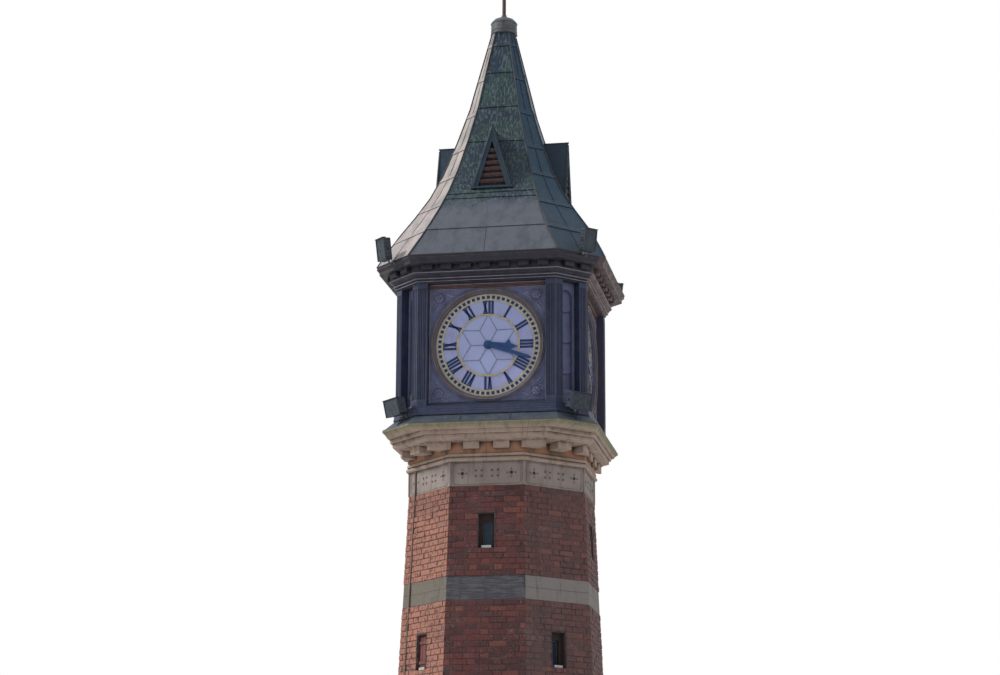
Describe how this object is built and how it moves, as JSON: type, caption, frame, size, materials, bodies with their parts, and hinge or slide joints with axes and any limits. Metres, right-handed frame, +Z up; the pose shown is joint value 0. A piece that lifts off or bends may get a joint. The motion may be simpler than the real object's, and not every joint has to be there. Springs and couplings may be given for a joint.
{
  "type": "clock tower",
  "caption": "Tapering octagonal brick clock tower with stone cornice, dark clock stage with four dials, and a bell-cast octagonal metal spire with louvred lucarnes",
  "frame": {"origin": "centre of the underside of the stone step, at ground level", "axes": "Z up; the entrance and the front dial look toward -Y; X to the right seen from the front"},
  "size_m": [4.0018, 4.0018, 15.3144],
  "materials": {
    "step_stone": "weathered dressed stone",
    "plinth_stone": "weathered dressed stone",
    "door_paint": "painted planks",
    "brick": "weathered red facing brick",
    "band_stone": "grimed dressed stone",
    "frame_paint": "grey painted frame",
    "sill_stone": "pale limewashed stone",
    "window_glass": "dark glass",
    "cornice_stone": "weathered buff stone with algae",
    "lead": "dull lead sheet",
    "stage_paint": "weathered dark paint",
    "floor_boards": "rough boards on joists",
    "opal_glass": "opal glass",
    "gilt": "dull gilt",
    "hand_paint": "satin dark blue",
    "spire_metal": "weathered sheet metal, grey green",
    "louvre_paint": "faded red brown paint",
    "cap_metal": "weathered sheet metal",
    "lamp_metal": "dark coated casting",
    "bracket_metal": "galvanized steel"
  },
  "bodies": {
    "tower": {"base_step": "step_stone", "centre_bars": "gilt", "chapter_rings": "gilt", "clock_floor": "floor_boards", "corner_posts": "stage_paint", "cornice_crown": "cornice_stone", "dentil_course": "cornice_stone", "dial_bosses": "gilt", "dial_glass": "opal_glass", "dial_panels": "stage_paint", "dial_ring_back": "stage_paint", "dial_ring_front": "stage_paint", "dial_ring_left": "stage_paint", "dial_ring_right": "stage_paint", "door_leaf": "door_paint", "door_surround": "plinth_stone", "eaves_bed_mould": "stage_paint", "eaves_corona": "stage_paint", "eaves_dentils": "stage_paint", "entrance_wall": "brick", "finial_rod": "cap_metal", "head_rails": "stage_paint", "lead_weathering": "lead", "louvres": "louvre_paint", "lower_band": "band_stone", "lower_brackets": "bracket_metal", "lower_corner_walls": "brick", "lower_lamps": "lamp_metal", "lower_main_walls": "brick", "lucarnes": "spire_metal", "middle_corner_walls": "brick", "middle_main_walls": "brick", "niche_panels": "stage_paint", "niche_plates": "stage_paint", "panel_roundels": "stage_paint", "plinth_corner_sides": "plinth_stone", "plinth_main_sides": "plinth_stone", "slit_frames": "frame_paint", "slit_glass": "window_glass", "slit_sills": "sill_stone", "spire_cap": "cap_metal", "spire_corner_slopes": "spire_metal", "spire_main_slopes": "spire_metal", "stage_base_mould": "stage_paint", "stone_blocks": "cornice_stone", "stone_cornice": "cornice_stone", "stone_frieze": "cornice_stone", "upper_band": "band_stone", "upper_brackets": "bracket_metal", "upper_corner_walls": "brick", "upper_lamps": "lamp_metal", "upper_main_walls": "brick"},
    "minute_hand_front": {"minute_hand_front": "hand_paint"},
    "hour_hand_front": {"hour_hand_front": "hand_paint"},
    "minute_hand_right": {"minute_hand_right": "hand_paint"},
    "hour_hand_right": {"hour_hand_right": "hand_paint"},
    "minute_hand_back": {"minute_hand_back": "hand_paint"},
    "hour_hand_back": {"hour_hand_back": "hand_paint"},
    "minute_hand_left": {"minute_hand_left": "hand_paint"},
    "hour_hand_left": {"hour_hand_left": "hand_paint"}
  },
  "joints": [
    {"name": "minute_turn_front", "type": "hinge", "parent": "tower", "child": "minute_hand_front", "pos_m": [0, -1.173, 9.2957], "axis": [0, 1, 0], "continuous": true},
    {"name": "hour_turn_front", "type": "hinge", "parent": "tower", "child": "hour_hand_front", "pos_m": [0, -1.173, 9.2957], "axis": [0, 1, 0], "continuous": true},
    {"name": "minute_turn_right", "type": "hinge", "parent": "tower", "child": "minute_hand_right", "pos_m": [1.173, 0, 9.2957], "axis": [-1, 0, 0], "continuous": true},
    {"name": "hour_turn_right", "type": "hinge", "parent": "tower", "child": "hour_hand_right", "pos_m": [1.173, 0, 9.2957], "axis": [-1, 0, 0], "continuous": true},
    {"name": "minute_turn_back", "type": "hinge", "parent": "tower", "child": "minute_hand_back", "pos_m": [0, 1.173, 9.2957], "axis": [0, -1, 0], "continuous": true},
    {"name": "hour_turn_back", "type": "hinge", "parent": "tower", "child": "hour_hand_back", "pos_m": [0, 1.173, 9.2957], "axis": [0, -1, 0], "continuous": true},
    {"name": "minute_turn_left", "type": "hinge", "parent": "tower", "child": "minute_hand_left", "pos_m": [-1.173, 0, 9.2957], "axis": [1, 0, 0], "continuous": true},
    {"name": "hour_turn_left", "type": "hinge", "parent": "tower", "child": "hour_hand_left", "pos_m": [-1.173, 0, 9.2957], "axis": [1, 0, 0], "continuous": true}
  ],
  "couplings": [
    {"joint": "hour_turn_front", "follows": "minute_turn_front", "ratio": 0.083333},
    {"joint": "minute_turn_right", "follows": "minute_turn_front", "ratio": 1},
    {"joint": "hour_turn_right", "follows": "minute_turn_front", "ratio": 0.083333},
    {"joint": "minute_turn_back", "follows": "minute_turn_front", "ratio": 1},
    {"joint": "hour_turn_back", "follows": "minute_turn_front", "ratio": 0.083333},
    {"joint": "minute_turn_left", "follows": "minute_turn_front", "ratio": 1},
    {"joint": "hour_turn_left", "follows": "minute_turn_front", "ratio": 0.083333}
  ]
}
